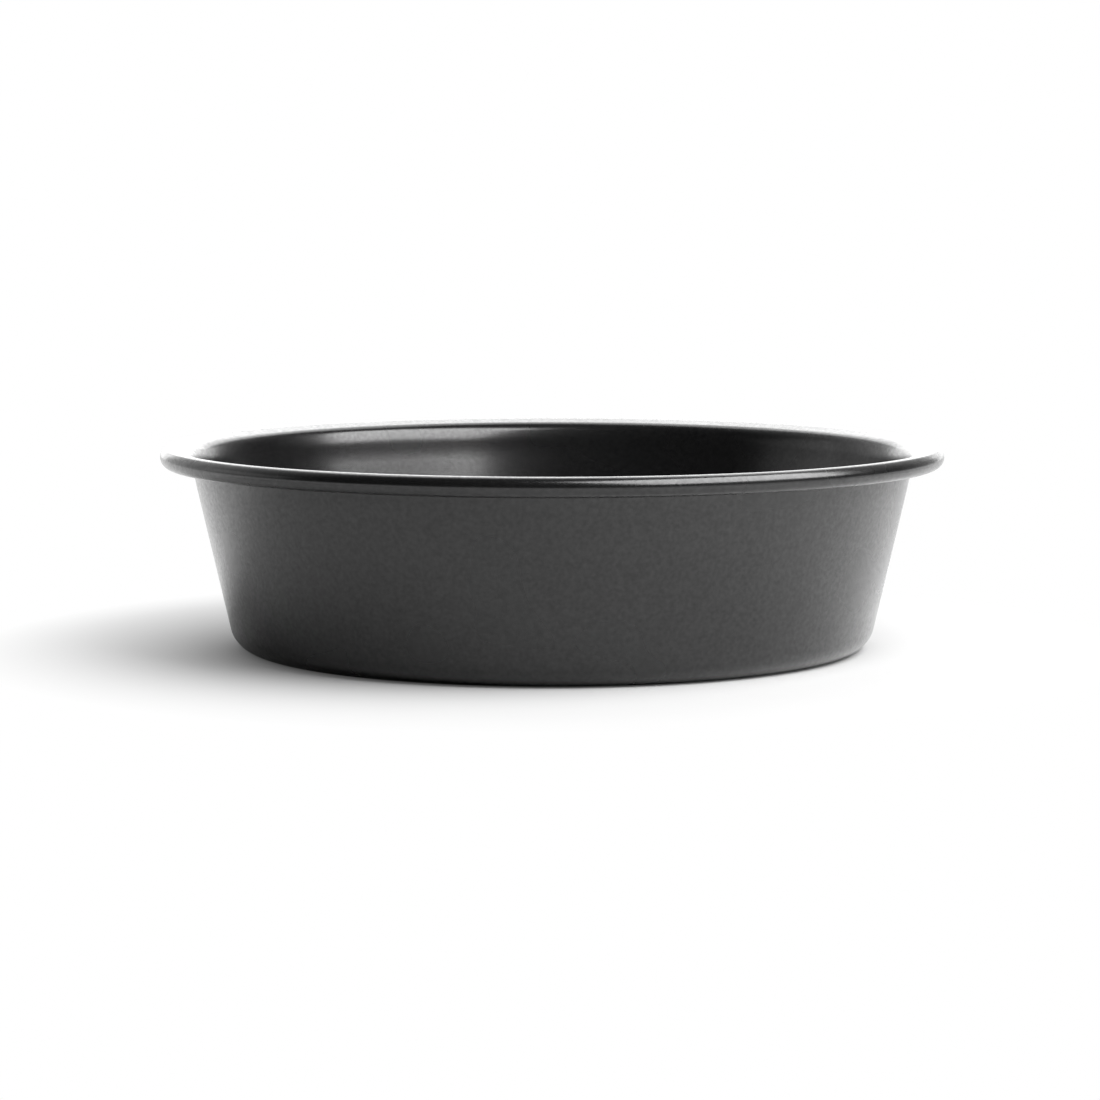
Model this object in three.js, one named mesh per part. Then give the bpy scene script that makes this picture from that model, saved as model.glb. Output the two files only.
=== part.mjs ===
// Round cake pan: one drawn sheet of coated steel, from the base to the rim, rolled round a steel wire.
// Millimetres, +Z up. The origin is the centre of the base, on the surface that the pan stands on.
import * as THREE from "three";

// Pan
const HEIGHT = 65; // standing surface to the top of the rim
const BASE_DIAMETER = 203.6; // outside, where the straight wall would reach the standing surface
const WALL_TAPER = 12.9; // degrees that the wall leans out from upright
const SHEET = 0.8; // thickness of the steel
const CORNER_RADIUS = 8; // inside, between the base and the wall

// Middle of the base, pressed up a little so that the pan stands on a ring
const FOOT_WIDTH = 10; // flat ring that meets the standing surface
const PANEL_RISE = 0.8;
const STEP_RADIUS = 3; // of the two bends of the step

// Rim: the wall stands a little more upright below the lip, eases outward, and bends into the lip
const NECK_TURN = 4.5; // degrees
const NECK_RADIUS = 70;
const EASE_TURN = 12; // degrees
const EASE_RADIUS = 18;
const LIP_RADIUS = 4.1;
const LIP_SLOPE = 15; // degrees that the lip still rises as it runs outward
const LIP_LENGTH = 3.6; // straight part between that bend and the roll
const WIRE_DIAMETER = 4;
const WIRE_CLEARANCE = 0.3; // between the wire and the sheet rolled round it
const ROLL_TURN = 300; // degrees that the sheet turns round the wire

// Facets
const SIDES = 72; // round the axis
const BEND_STEP = 18; // most degrees between two points of a bend
const WIRE_SIDES = 12;

// Headings are angles from level outward, positive upward. Bends are measured at the middle of the sheet.
const radians = THREE.MathUtils.degToRad;
const halfSheet = SHEET / 2;
const taper = radians(WALL_TAPER);
const wallHeading = Math.PI / 2 - taper;
const lipHeading = radians(LIP_SLOPE);
const cornerBend = CORNER_RADIUS + halfSheet;
const rollBend = WIRE_DIAMETER / 2 + WIRE_CLEARANCE + halfSheet;

// The middle line of the sheet in a half section, x from the axis and y up.
// It is drawn like a pen stroke: straights follow the heading, and bends turn it.
class SheetLine {
  constructor(height, heading) {
    this.at = new THREE.Vector2(0, height);
    this.heading = heading;
    this.stations = [];
    this.mark();
  }

  mark() {
    this.stations.push({ at: this.at.clone(), heading: this.heading });
  }

  move(length) {
    this.at.x += length * Math.cos(this.heading);
    this.at.y += length * Math.sin(this.heading);
  }

  straight(length) {
    this.move(length);
    this.mark();
  }

  // A positive turn goes to the left, which is upward on a line that runs outward.
  turn(radius, angle) {
    const steps = Math.ceil(Math.abs(angle) / radians(BEND_STEP));
    const halfStep = angle / steps / 2;
    for (let step = 0; step < steps; step += 1) {
      this.heading += halfStep;
      this.move(2 * radius * Math.sin(Math.abs(halfStep)));
      this.heading += halfStep;
      this.mark();
    }
  }

  turnTo(radius, heading) {
    this.turn(radius, heading - this.heading);
  }

  // Both faces of the sheet, joined by its cut edge: outside first, then back along the inside.
  section() {
    const outside = this.stations.map((station) => beside(station, -halfSheet));
    const inside = this.stations.map((station) => beside(station, halfSheet));
    return [...outside, ...inside.reverse()];
  }
}

// A point beside a place on the line, to the left of its heading if the distance is positive.
function beside({ at, heading }, distance) {
  return new THREE.Vector2(at.x - distance * Math.sin(heading), at.y + distance * Math.cos(heading));
}

// A solid turned from a half section.
function turned(name, section, material) {
  const geometry = new THREE.LatheGeometry(section, SIDES);
  geometry.rotateX(Math.PI / 2);
  const mesh = new THREE.Mesh(geometry, material);
  mesh.name = name;
  return mesh;
}

// Base: raised panel, step down, and the foot ring, which ends where the corner starts.
const wallMeetsBase = BASE_DIAMETER / 2 - halfSheet / Math.cos(taper) + halfSheet * Math.tan(taper);
const footEnd = wallMeetsBase - cornerBend * Math.tan(wallHeading / 2);
const stepTurn = Math.acos(1 - PANEL_RISE / (2 * STEP_RADIUS));
const stepWidth = 2 * STEP_RADIUS * Math.sin(stepTurn);

function drawBase(line) {
  line.straight(footEnd - FOOT_WIDTH - stepWidth);
  line.turn(STEP_RADIUS, -stepTurn);
  line.turn(STEP_RADIUS, stepTurn);
  line.straight(FOOT_WIDTH);
}

// Rim, from the end of the straight wall to the start of the roll.
function drawLip(line) {
  line.turn(NECK_RADIUS, radians(NECK_TURN));
  line.turn(EASE_RADIUS, -radians(EASE_TURN));
  line.turnTo(LIP_RADIUS, lipHeading);
  line.straight(LIP_LENGTH);
}

// Height that the rim adds to the wall, measured on a lip drawn by itself.
const loneLip = new SheetLine(0, wallHeading);
drawLip(loneLip);
const rimRise = loneLip.at.y + rollBend * (1 - Math.cos(lipHeading)) + halfSheet;

// The whole sheet. The wall is as long as it takes for the rim to end at the stated height.
const line = new SheetLine(halfSheet + PANEL_RISE, 0);
drawBase(line);
line.turnTo(cornerBend, wallHeading);
line.straight((HEIGHT - rimRise - line.at.y) / Math.sin(wallHeading));
drawLip(line);

// Roll: up to level at the top of the rim, then down and round the wire.
const rollCentre = beside(line, -rollBend);
line.turnTo(rollBend, 0);
line.turn(rollBend, lipHeading - radians(ROLL_TURN));

const shell = turned(
  "pan_shell",
  line.section(),
  new THREE.MeshStandardMaterial({ color: 0x2b2b2c, roughness: 0.42, metalness: 0.1 }),
);

// Wire ring inside the roll.
const wireSection = [];
for (let side = 0; side <= WIRE_SIDES; side += 1) {
  const angle = ((side % WIRE_SIDES) / WIRE_SIDES) * 2 * Math.PI;
  const offset = new THREE.Vector2(Math.cos(angle), Math.sin(angle)).multiplyScalar(WIRE_DIAMETER / 2);
  wireSection.push(offset.add(rollCentre));
}
const wire = turned(
  "rim_wire",
  wireSection,
  new THREE.MeshStandardMaterial({ color: 0x9c9b98, roughness: 0.35, metalness: 1 }),
);

const pan = new THREE.Group();
pan.name = "cake_pan";
pan.add(shell, wire);
export default pan;
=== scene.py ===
# The cake pan as it looks: coated sheet steel on a pale studio floor.
# Metres, +Z up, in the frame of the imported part.
import math

import bpy
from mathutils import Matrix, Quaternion, Vector


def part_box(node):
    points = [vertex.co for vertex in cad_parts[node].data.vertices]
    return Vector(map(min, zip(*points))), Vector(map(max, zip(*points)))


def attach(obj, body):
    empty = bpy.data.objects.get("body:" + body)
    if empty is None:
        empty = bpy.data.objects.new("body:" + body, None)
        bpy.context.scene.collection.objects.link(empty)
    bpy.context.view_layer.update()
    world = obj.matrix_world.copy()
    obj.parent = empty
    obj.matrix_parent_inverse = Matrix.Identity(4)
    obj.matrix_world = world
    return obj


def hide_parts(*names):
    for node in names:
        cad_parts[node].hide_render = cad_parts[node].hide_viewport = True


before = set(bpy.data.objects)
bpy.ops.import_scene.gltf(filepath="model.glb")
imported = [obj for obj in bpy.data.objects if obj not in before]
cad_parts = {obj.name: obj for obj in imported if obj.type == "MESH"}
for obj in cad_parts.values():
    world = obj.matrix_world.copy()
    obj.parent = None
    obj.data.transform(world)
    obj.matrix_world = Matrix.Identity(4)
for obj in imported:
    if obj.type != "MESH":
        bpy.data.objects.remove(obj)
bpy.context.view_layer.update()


# Pan shell
# One disc of sheet steel, drawn in a press to a flat base and a leaning wall. The edge is turned out to
# a lip and rolled round a wire. A dark non-stick coat, sprayed on and baked, covers both of its faces.
PAN_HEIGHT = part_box("pan_shell")[1].z
BASE_RADIUS = 0.1018  # outside, where the straight wall would reach the floor
WALL_TAPER = math.radians(12.9)  # from upright
SHEET = 0.0008
CORNER_RADIUS = 0.008  # inside, between the base and the wall
FOOT_WIDTH = 0.010  # flat ring that the pan stands on
PANEL_RISE = 0.0008  # of the base inside that ring
STEP_RADIUS = 0.003  # of the two bends of the step up to the panel
NECK_TURN = math.radians(4.5)  # the wall stands a little more upright below the lip
NECK_RADIUS = 0.070
EASE_TURN = math.radians(12)  # above that it eases outward
EASE_RADIUS = 0.018
LIP_RADIUS = 0.0041
LIP_SLOPE = math.radians(15)  # that the lip still rises as it runs outward
LIP_LENGTH = 0.0036  # straight part between that bend and the roll
WIRE_RADIUS = 0.002
WIRE_CLEARANCE = 0.0003  # between the wire and the sheet rolled round it
ROLL_TURN = math.radians(300)
SHELL_SIDES = 240
BEND_STEP = math.radians(4)  # most between two points of a bend
LEAST_BEND_STEPS = 4
EDGE_STEPS = 6
SHADING_HOLD = 0.0004  # from a straight's ends to the rings that keep the bends' shading out of it

half_sheet = SHEET / 2
wall_heading = math.pi / 2 - WALL_TAPER
corner_bend = CORNER_RADIUS + half_sheet
roll_bend = WIRE_RADIUS + WIRE_CLEARANCE + half_sheet


class SheetLine:
    """Middle line of the sheet in a half section, drawn like a pen stroke.

    Headings are angles from level outward, positive upward.
    """

    def __init__(self, height, heading):
        self.radius = 0.0
        self.height = height
        self.heading = heading
        self.stations = []
        self.mark()

    def mark(self):
        self.stations.append((self.radius, self.height, self.heading))

    def move(self, length):
        self.radius += length * math.cos(self.heading)
        self.height += length * math.sin(self.heading)

    def straight(self, length):
        for part in (SHADING_HOLD, length - 2 * SHADING_HOLD, SHADING_HOLD):
            self.move(part)
            self.mark()

    def turn(self, radius, angle):
        steps = max(LEAST_BEND_STEPS, math.ceil(abs(angle) / BEND_STEP))
        half_step = angle / steps / 2
        for _ in range(steps):
            self.heading += half_step
            self.move(2 * radius * math.sin(abs(half_step)))
            self.heading += half_step
            self.mark()

    def turn_to(self, radius, heading):
        self.turn(radius, heading - self.heading)

    def face(self, distance):
        """One face of the sheet: the line moved to its left, or by a negative distance to its right."""
        return [beside(station, distance) for station in self.stations]

    def cut_edge(self):
        """Half round from the outer face to the inner one, at the end of the line."""
        turns = [math.pi * (step / EDGE_STEPS - 0.5) for step in range(1, EDGE_STEPS)]
        return [
            (
                self.radius + half_sheet * math.cos(self.heading + turn),
                self.height + half_sheet * math.sin(self.heading + turn),
            )
            for turn in turns
        ]


def beside(station, distance):
    """The point (radius, height) to the left of a place on the line."""
    radius, height, heading = station
    return radius - distance * math.sin(heading), height + distance * math.cos(heading)


def draw_lip(line):
    """From the end of the straight wall to the start of the roll."""
    line.turn(NECK_RADIUS, NECK_TURN)
    line.turn(EASE_RADIUS, -EASE_TURN)
    line.turn_to(LIP_RADIUS, LIP_SLOPE)
    line.straight(LIP_LENGTH)


def draw_sheet():
    """The whole sheet, and the centre of its roll.

    The wall is as long as it takes for the rim to end at the pan's height.
    """
    wall_meets_base = BASE_RADIUS - half_sheet / math.cos(WALL_TAPER) + half_sheet * math.tan(WALL_TAPER)
    foot_end = wall_meets_base - corner_bend * math.tan(wall_heading / 2)
    step_turn = math.acos(1 - PANEL_RISE / (2 * STEP_RADIUS))
    lone_lip = SheetLine(0, wall_heading)
    draw_lip(lone_lip)
    rim_rise = lone_lip.height + roll_bend * (1 - math.cos(LIP_SLOPE)) + half_sheet

    line = SheetLine(half_sheet + PANEL_RISE, 0)
    line.straight(foot_end - FOOT_WIDTH - 2 * STEP_RADIUS * math.sin(step_turn))
    line.turn(STEP_RADIUS, -step_turn)
    line.turn(STEP_RADIUS, step_turn)
    line.straight(FOOT_WIDTH)
    line.turn_to(corner_bend, wall_heading)
    line.straight((PAN_HEIGHT - rim_rise - line.height) / math.sin(wall_heading))
    draw_lip(line)
    roll_centre = beside(line.stations[-1], -roll_bend)
    line.turn_to(roll_bend, 0)
    line.turn(roll_bend, LIP_SLOPE + half_sheet / roll_bend - ROLL_TURN)
    return line, roll_centre


def turning_tree():
    """Geometry Nodes that turn a half section, in the XZ plane, about the Z axis."""
    tree = bpy.data.node_groups.new("turned_section", "GeometryNodeTree")
    tree.interface.new_socket("Section", in_out="INPUT", socket_type="NodeSocketGeometry")
    tree.interface.new_socket("Sides", in_out="INPUT", socket_type="NodeSocketInt")
    tree.interface.new_socket("Weld distance", in_out="INPUT", socket_type="NodeSocketFloat")
    tree.interface.new_socket("Finish", in_out="INPUT", socket_type="NodeSocketMaterial")
    tree.interface.new_socket("Solid", in_out="OUTPUT", socket_type="NodeSocketGeometry")
    nodes, link = tree.nodes, tree.links.new
    given = nodes.new("NodeGroupInput").outputs
    made = nodes.new("NodeGroupOutput").inputs

    # One more column of points than sides, so that the last column closes on the first.
    columns = nodes.new("FunctionNodeIntegerMath")
    columns.operation = "ADD"
    columns.inputs[1].default_value = 1
    link(given["Sides"], columns.inputs[0])
    count = nodes.new("GeometryNodeAttributeDomainSize")
    link(given["Section"], count.inputs["Geometry"])
    grid = nodes.new("GeometryNodeMeshGrid")
    link(count.outputs["Point Count"], grid.inputs["Vertices X"])
    link(columns.outputs[0], grid.inputs["Vertices Y"])

    # Each row of the grid is a point of the section, and each column a side.
    index = nodes.new("GeometryNodeInputIndex")
    row = nodes.new("FunctionNodeIntegerMath")
    row.operation = "DIVIDE_FLOOR"
    column = nodes.new("FunctionNodeIntegerMath")
    column.operation = "MODULO"
    for place in (row, column):
        link(index.outputs["Index"], place.inputs[0])
        link(columns.outputs[0], place.inputs[1])
    point = nodes.new("GeometryNodeSampleIndex")
    point.data_type = "FLOAT_VECTOR"
    link(given["Section"], point.inputs["Geometry"])
    link(nodes.new("GeometryNodeInputPosition").outputs["Position"], point.inputs["Value"])
    link(row.outputs[0], point.inputs["Index"])
    share = nodes.new("ShaderNodeMath")
    share.operation = "DIVIDE"
    link(column.outputs[0], share.inputs[0])
    link(given["Sides"], share.inputs[1])
    angle = nodes.new("ShaderNodeMath")
    angle.operation = "MULTIPLY"
    angle.inputs[1].default_value = math.tau
    link(share.outputs[0], angle.inputs[0])
    turned = nodes.new("ShaderNodeVectorRotate")
    turned.rotation_type = "Z_AXIS"
    link(point.outputs["Value"], turned.inputs["Vector"])
    link(angle.outputs[0], turned.inputs["Angle"])

    placed = nodes.new("GeometryNodeSetPosition")
    link(grid.outputs["Mesh"], placed.inputs["Geometry"])
    link(turned.outputs["Vector"], placed.inputs["Position"])
    welded = nodes.new("GeometryNodeMergeByDistance")
    link(placed.outputs["Geometry"], welded.inputs["Geometry"])
    link(given["Weld distance"], welded.inputs["Distance"])
    # The grid is bent with its faces inward, so they are turned round.
    outward = nodes.new("GeometryNodeFlipFaces")
    link(welded.outputs["Geometry"], outward.inputs["Mesh"])
    smooth = nodes.new("GeometryNodeSetShadeSmooth")
    link(outward.outputs["Mesh"], smooth.inputs["Geometry"])
    real = nodes.new("GeometryNodeRealizeInstances")
    link(smooth.outputs["Geometry"], real.inputs["Geometry"])
    finished = nodes.new("GeometryNodeSetMaterial")
    link(real.outputs["Geometry"], finished.inputs["Geometry"])
    link(given["Finish"], finished.inputs["Material"])
    link(finished.outputs["Geometry"], made["Solid"])
    return tree


WELD_DISTANCE = 1e-7
turned_section = turning_tree()


def scene_object(name, data):
    """A new object in the scene, at the origin."""
    made = bpy.data.objects.new(name, data)
    bpy.context.scene.collection.objects.link(made)
    return made


def turned_piece(name, section, sides, finish):
    """A plain mesh object turned from a half section, given as points (radius, height)."""
    drawn = bpy.data.meshes.new(name + "_section")
    points = [(radius, 0, height) for radius, height in section]
    drawn.from_pydata(points, [(i, i + 1) for i in range(len(points) - 1)], [])
    lathe = scene_object(name + "_lathe", drawn)
    modifier = lathe.modifiers.new("turned", "NODES")
    modifier.node_group = turned_section
    values = {"Sides": sides, "Weld distance": WELD_DISTANCE, "Finish": finish}
    for socket in turned_section.interface.items_tree:
        if socket.in_out == "INPUT" and socket.name in values:
            modifier[socket.identifier] = values[socket.name]
    depsgraph = bpy.context.evaluated_depsgraph_get()
    mesh = bpy.data.meshes.new_from_object(lathe.evaluated_get(depsgraph))
    mesh.name = name
    bpy.data.objects.remove(lathe)
    bpy.data.meshes.remove(drawn)
    return scene_object(name, mesh)


GRAIN_DETAIL = 1  # finer octaves added to the noise
GRAIN_RANGE = (0.25, 0.75)  # of the noise, which the tone spreads from 0 to 1


def grain_group():
    """Fine uneven grain, with lumps of a given size: a height for bumps and a tone from 0 to 1."""
    group = bpy.data.node_groups.new("fine_grain", "ShaderNodeTree")
    group.interface.new_socket("Size", in_out="INPUT", socket_type="NodeSocketFloat")
    group.interface.new_socket("Seed", in_out="INPUT", socket_type="NodeSocketFloat")
    group.interface.new_socket("Height", in_out="OUTPUT", socket_type="NodeSocketFloat")
    group.interface.new_socket("Tone", in_out="OUTPUT", socket_type="NodeSocketFloat")
    nodes, link = group.nodes, group.links.new
    given = nodes.new("NodeGroupInput").outputs
    made = nodes.new("NodeGroupOutput").inputs
    coordinates = nodes.new("ShaderNodeTexCoord")
    per_metre = nodes.new("ShaderNodeMath")
    per_metre.operation = "DIVIDE"
    per_metre.inputs[0].default_value = 1
    link(given["Size"], per_metre.inputs[1])
    noise = nodes.new("ShaderNodeTexNoise")
    noise.noise_dimensions = "4D"
    noise.inputs["Detail"].default_value = GRAIN_DETAIL
    link(coordinates.outputs["Object"], noise.inputs["Vector"])
    link(per_metre.outputs[0], noise.inputs["Scale"])
    link(given["Seed"], noise.inputs["W"])
    tone = nodes.new("ShaderNodeMapRange")
    tone.inputs["From Min"].default_value = GRAIN_RANGE[0]
    tone.inputs["From Max"].default_value = GRAIN_RANGE[1]
    link(noise.outputs["Fac"], tone.inputs["Value"])
    link(noise.outputs["Fac"], made["Height"])
    link(tone.outputs["Result"], made["Tone"])
    return group


fine_grain = grain_group()


class Finish:
    """A new material, its surface shader, and the nodes that vary it."""

    def __init__(self, name):
        self.material = bpy.data.materials.new(name)
        self.material.use_nodes = True
        self.nodes = self.material.node_tree.nodes
        self.link = self.material.node_tree.links.new
        self.surface = self.nodes["Principled BSDF"].inputs

    def grain(self, size, seed):
        """The grain group, with its own lump size and seed."""
        placed = self.nodes.new("ShaderNodeGroup")
        placed.node_tree = fine_grain
        placed.inputs["Size"].default_value = size
        placed.inputs["Seed"].default_value = seed
        return placed.outputs

    def vary_colour(self, tone, dark, light):
        shade = self.nodes.new("ShaderNodeMix")
        shade.data_type = "RGBA"
        shade.inputs["A"].default_value = dark
        shade.inputs["B"].default_value = light
        self.link(tone, shade.inputs["Factor"])
        self.link(shade.outputs["Result"], self.surface["Base Color"])

    def vary(self, socket, tone, ends):
        """A value of the surface runs from one end to the other with a tone."""
        value = self.nodes.new("ShaderNodeMapRange")
        value.inputs["To Min"].default_value = ends[0]
        value.inputs["To Max"].default_value = ends[1]
        self.link(tone, value.inputs["Value"])
        self.link(value.outputs["Result"], self.surface[socket])

    def raise_bumps(self, *layers):
        """Bumps on the surface, in layers (height, depth) on top of each other."""
        normal = None
        for height, depth in layers:
            bump = self.nodes.new("ShaderNodeBump")
            bump.inputs["Distance"].default_value = depth
            self.link(height, bump.inputs["Height"])
            if normal is not None:
                self.link(normal, bump.inputs["Normal"])
            normal = bump.outputs["Normal"]
        self.link(normal, self.surface["Normal"])


COAT_DARK = (0.0040, 0.0040, 0.0042, 1)
COAT_LIGHT = (0.0085, 0.0085, 0.0087, 1)
COAT_ROUGHNESS = (0.24, 0.29)
COAT_IOR = 1.47
SKIN_WEIGHT = (0.5, 1.0)  # glossier skin of the coat, thinner between its lumps
SKIN_IOR = 1.4
SKIN_ROUGHNESS = 0.18
PEEL_SIZE = 0.0013  # lumps of the sprayed coat, as on an orange
PEEL_DEPTH = 0.000017
PEEL_SEED = 1.0
SPECK_SIZE = 0.00045  # fine specks baked into it
SPECK_DEPTH = 0.000011
SPECK_SEED = 2.0
CLOUD_SIZE = 0.035  # slow unevenness of the gloss
CLOUD_SEED = 3.0


def coat_material():
    """Sprayed lumps and baked specks under a glossier skin, with slow changes of gloss."""
    coat = Finish("nonstick_coat")
    coat.surface["IOR"].default_value = COAT_IOR
    coat.surface["Coat IOR"].default_value = SKIN_IOR
    coat.surface["Coat Roughness"].default_value = SKIN_ROUGHNESS
    peel = coat.grain(PEEL_SIZE, PEEL_SEED)
    specks = coat.grain(SPECK_SIZE, SPECK_SEED)
    clouds = coat.grain(CLOUD_SIZE, CLOUD_SEED)
    coat.vary_colour(peel["Tone"], COAT_DARK, COAT_LIGHT)
    coat.vary("Roughness", clouds["Tone"], COAT_ROUGHNESS)
    coat.vary("Coat Weight", peel["Tone"], SKIN_WEIGHT)
    coat.raise_bumps((specks["Height"], SPECK_DEPTH), (peel["Height"], PEEL_DEPTH))
    return coat.material


sheet, roll_centre = draw_sheet()
shell_section = sheet.face(-half_sheet) + sheet.cut_edge() + sheet.face(half_sheet)[::-1]
shell = turned_piece("pan_coated_shell", shell_section, SHELL_SIDES, coat_material())
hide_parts("pan_shell")
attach(shell, "root")


# Rim wire
# A ring of bright drawn steel wire, butted end to end, that stiffens the rim. The edge of the sheet is
# rolled round it, so it shows only through the narrow slit that the roll leaves under the lip.
WIRE_STEPS = 20
WIRE_SIDES = 180
WIRE_DARK = (0.30, 0.295, 0.285, 1)
WIRE_LIGHT = (0.46, 0.455, 0.44, 1)
WIRE_ROUGHNESS = (0.30, 0.48)
DRAW_MARK_SIZE = 0.0004
DRAW_MARK_DEPTH = 0.000008
DRAW_MARK_SEED = 4.0
STAIN_SIZE = 0.006
STAIN_SEED = 5.0


def wire_material():
    """Bright steel with fine marks from drawing, and stains that change its shade and gloss."""
    steel = Finish("drawn_wire_steel")
    steel.surface["Metallic"].default_value = 1
    marks = steel.grain(DRAW_MARK_SIZE, DRAW_MARK_SEED)
    stains = steel.grain(STAIN_SIZE, STAIN_SEED)
    steel.vary_colour(stains["Tone"], WIRE_DARK, WIRE_LIGHT)
    steel.vary("Roughness", stains["Tone"], WIRE_ROUGHNESS)
    steel.raise_bumps((marks["Height"], DRAW_MARK_DEPTH))
    return steel.material


wire_turns = [math.tau * step / WIRE_STEPS for step in range(WIRE_STEPS + 1)]
wire_section = [
    (roll_centre[0] + WIRE_RADIUS * math.cos(turn), roll_centre[1] + WIRE_RADIUS * math.sin(turn))
    for turn in wire_turns
]
wire = turned_piece("rim_wire_ring", wire_section, WIRE_SIDES, wire_material())
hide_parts("rim_wire")
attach(wire, "root")


# Floor
# A plain pale studio table, wide enough to run out of the picture on all sides. It keeps the pan's soft
# shadow. Away from the pan it glows plain white, nearer for the camera than in the gloss of the pan.
# Near the pan that glow is painted light that pales the shadow for the camera. Behind on the left it is
# a painted reflection that takes the shadow out of the pan's gloss.
FLOOR_REACH = 6.0
FLOOR_COLOUR = (0.62, 0.62, 0.62, 1)
FLOOR_ROUGHNESS = 1.0
FLOOR_GLOSS = 0.0
WHITE = (1, 1, 1, 1)
# The camera's glow starts under the rim, so it paints light over the pan's shadow near the pan.
SEEN_GLOW_FADE = (0.091, 0.188)  # distances from the axis between which the camera sees it turn white
MIRRORED_FADE = (0.3, 0.45)  # the same for the gloss of the pan
BACK_LEFT = (-0.5, 0.866, 0)  # level, 30 degrees to the left of straight behind
# The pan's shadow lies behind on the left, so this white glow in the gloss is a painted reflection
# there.
BACK_LEFT_GLOW_FADE = (0.09, 0.19)  # distances that way between which the gloss sees it turn white too


def floor_material():
    """Pale paint that takes the pan's shadow, and a white glow away from the pan.

    The glow shows only to the camera and in gloss. Near the pan it is painted light that pales the
    shadow.
    """
    paint = Finish("floor_white")
    nodes, link = paint.nodes, paint.link
    paint.surface["Base Color"].default_value = FLOOR_COLOUR
    paint.surface["Roughness"].default_value = FLOOR_ROUGHNESS
    paint.surface["Specular IOR Level"].default_value = FLOOR_GLOSS

    coordinates = nodes.new("ShaderNodeTexCoord")
    distance = nodes.new("ShaderNodeVectorMath")
    distance.operation = "LENGTH"
    back_left = nodes.new("ShaderNodeVectorMath")
    back_left.operation = "DOT_PRODUCT"
    back_left.inputs[1].default_value = BACK_LEFT
    for measure in (distance, back_left):
        link(coordinates.outputs["Object"], measure.inputs[0])

    def whiteness(measure, fade):
        share = nodes.new("ShaderNodeMapRange")
        share.inputs["From Min"].default_value = fade[0]
        share.inputs["From Max"].default_value = fade[1]
        link(measure.outputs["Value"], share.inputs["Value"])
        return share.outputs["Result"]

    def combined(operation, *values):
        result = nodes.new("ShaderNodeMath")
        result.operation = operation
        for value, socket in zip(values, result.inputs):
            link(value, socket)
        return result.outputs[0]

    seen = whiteness(distance, SEEN_GLOW_FADE)
    mirrored = combined(
        "MAXIMUM", whiteness(distance, MIRRORED_FADE), whiteness(back_left, BACK_LEFT_GLOW_FADE)
    )
    # Only the camera and the gloss see the white glow. To them it is painted light over the pan's
    # shadow.
    path = nodes.new("ShaderNodeLightPath").outputs
    to_camera = combined("MULTIPLY", seen, path["Is Camera Ray"])
    to_either = combined("MULTIPLY_ADD", mirrored, path["Is Glossy Ray"], to_camera)
    white = nodes.new("ShaderNodeEmission")
    white.inputs["Color"].default_value = WHITE
    blend = nodes.new("ShaderNodeMixShader")
    link(to_either, blend.inputs["Fac"])
    link(nodes["Principled BSDF"].outputs["BSDF"], blend.inputs[1])
    link(white.outputs["Emission"], blend.inputs[2])
    link(blend.outputs["Shader"], nodes["Material Output"].inputs["Surface"])
    return paint.material


floor_mesh = bpy.data.meshes.new("floor")
floor_corners = [(x * FLOOR_REACH, y * FLOOR_REACH, 0) for x, y in ((-1, -1), (1, -1), (1, 1), (-1, 1))]
floor_mesh.from_pydata(floor_corners, [], [(0, 1, 2, 3)])
floor_mesh.materials.append(floor_material())
floor = scene_object("floor", floor_mesh)


# Studio light
# A large soft panel at the front right, a tall one that leans over from behind, a small one before it
# for the back of the lip, a dim one on the left and a low wide one behind. The room is dark in front of
# the pan and light behind it, and the camera sees it as white.
ROOM_AHEAD = 0.03
ROOM_BEHIND = 0.65
ROOM_SEEN = 1.0  # strength for the camera
ROOM_TURN = math.radians(20)  # from straight behind to the lightest part of the room, on the left
ROOM_EDGE = (0.17, 0.95)  # cosines from that part, from dark to fully light


def room_world():
    """White to the camera, and to the pan and the floor light behind and dark in front."""
    world = bpy.data.worlds.new("studio")
    world.use_nodes = True
    nodes, link = world.node_tree.nodes, world.node_tree.links.new
    room = nodes["Background"]
    room.inputs["Color"].default_value = WHITE
    coordinates = nodes.new("ShaderNodeTexCoord")
    behind = nodes.new("ShaderNodeVectorMath")
    behind.operation = "DOT_PRODUCT"
    behind.inputs[1].default_value = (-math.sin(ROOM_TURN), math.cos(ROOM_TURN), 0)
    link(coordinates.outputs["Generated"], behind.inputs[0])
    shown = nodes.new("ShaderNodeMapRange")
    shown.inputs["From Min"].default_value = ROOM_EDGE[0]
    shown.inputs["From Max"].default_value = ROOM_EDGE[1]
    shown.inputs["To Min"].default_value = ROOM_AHEAD
    shown.inputs["To Max"].default_value = ROOM_BEHIND
    link(behind.outputs["Value"], shown.inputs["Value"])
    path = nodes.new("ShaderNodeLightPath")
    strength = nodes.new("ShaderNodeMix")
    strength.inputs["B"].default_value = ROOM_SEEN
    link(path.outputs["Is Camera Ray"], strength.inputs["Factor"])
    link(shown.outputs["Result"], strength.inputs["A"])
    link(strength.outputs["Result"], room.inputs["Strength"])
    return world


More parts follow.
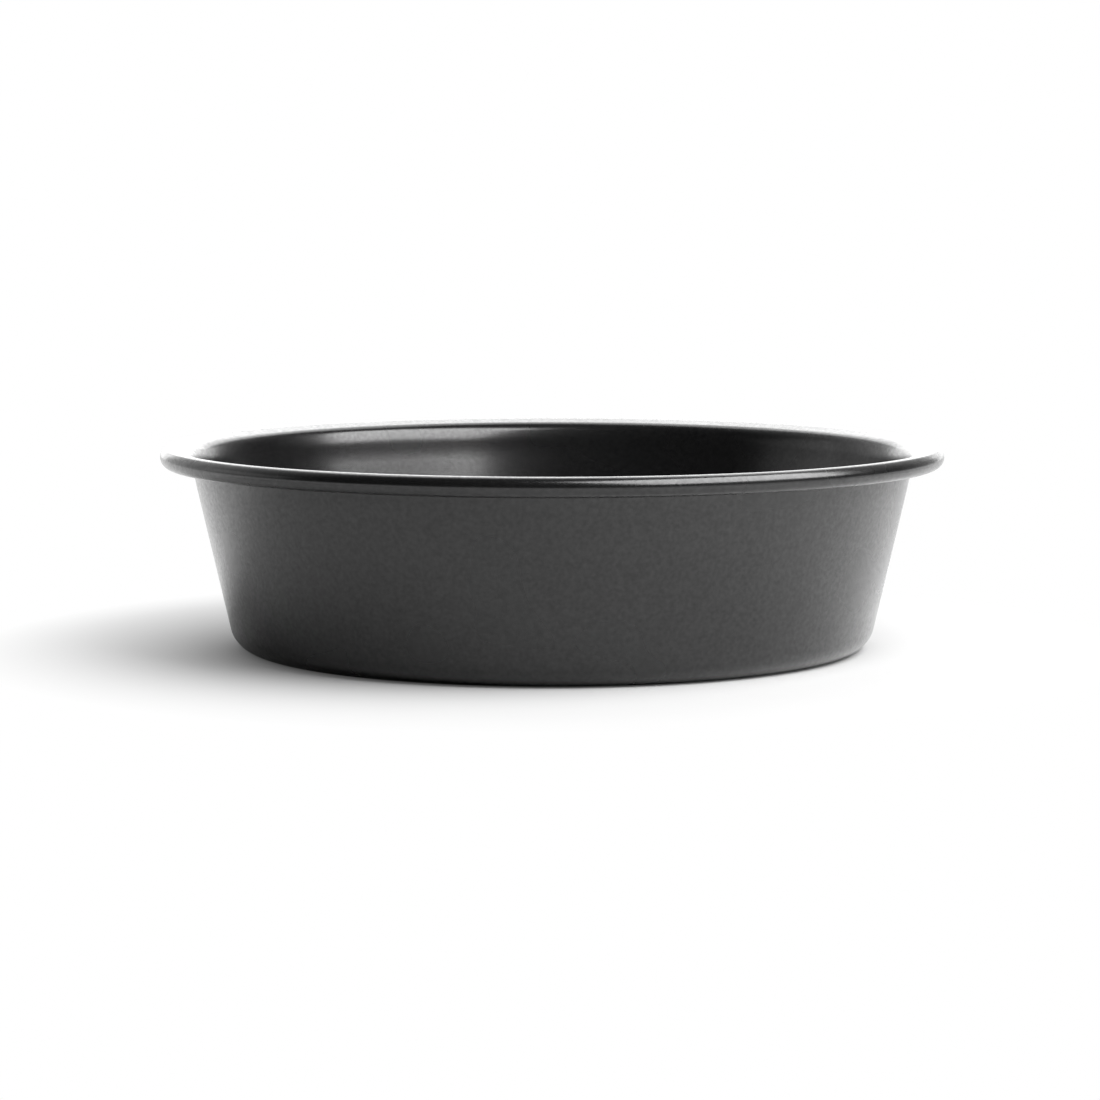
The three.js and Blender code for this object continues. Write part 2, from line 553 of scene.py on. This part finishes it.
def soft_light(name, azimuth, elevation, distance, width, height, radiance, lean=0):
    """A lit panel that faces the pan, leaning in its own plane. Angles are in degrees.

    Azimuth is from the camera side towards +X, and elevation from level.
    """
    turn, rise = math.radians(azimuth), math.radians(elevation)
    away = Vector((math.sin(turn) * math.cos(rise), -math.cos(turn) * math.cos(rise), math.sin(rise)))
    light = bpy.data.lights.new(name, "AREA")
    light.shape = "RECTANGLE"
    light.size = width
    light.size_y = height
    light.energy = radiance * math.pi * width * height
    lamp = scene_object(name, light)
    lamp.location = Vector((0, 0, PAN_HEIGHT / 2)) + away * distance
    leaning = Quaternion((0, 0, 1), math.radians(lean))
    lamp.rotation_euler = (away.to_track_quat("Z", "Y") @ leaning).to_euler()
    lamp.visible_camera = False


bpy.context.scene.world = room_world()
soft_light(
    "key_light", azimuth=60, elevation=46, distance=0.72, width=0.82, height=0.6, radiance=7.4, lean=-6
)
soft_light("top_light", azimuth=180, elevation=41, distance=1.3, width=1.0, height=1.35, radiance=1.7)
soft_light("lip_light", azimuth=180, elevation=33, distance=1.25, width=0.36, height=0.25, radiance=1.2)
soft_light("left_light", azimuth=262, elevation=16, distance=1.4, width=0.86, height=0.4, radiance=0.33)
soft_light("back_light", azimuth=179, elevation=8, distance=1.5, width=1.7, height=0.43, radiance=1.3)


# Camera
# At the photograph's angle: a long lens, well back from the pan and a little above its rim.
# Its focal length is that of the photograph, in pixels of the frame.
CAMERA_PLACE = (0, -1.2093, 0.1579)
CAMERA_TILT = 0.1046  # radians down from level
CAMERA_SHIFT = -0.002  # sideways, in widths of the frame
FRAME_SIZE = 1100  # pixels
FOCAL_PIXELS = 3774.2
SENSOR_WIDTH = 36.0  # millimetres

lens = bpy.data.cameras.new("photo_camera")
lens.sensor_width = SENSOR_WIDTH
lens.lens = FOCAL_PIXELS / FRAME_SIZE * SENSOR_WIDTH
lens.shift_x = CAMERA_SHIFT
camera = scene_object("photo_camera", lens)
camera.location = CAMERA_PLACE
camera.rotation_euler = (math.pi / 2 - CAMERA_TILT, 0, 0)
bpy.context.scene.camera = camera
bpy.context.scene.view_settings.view_transform = "Standard"
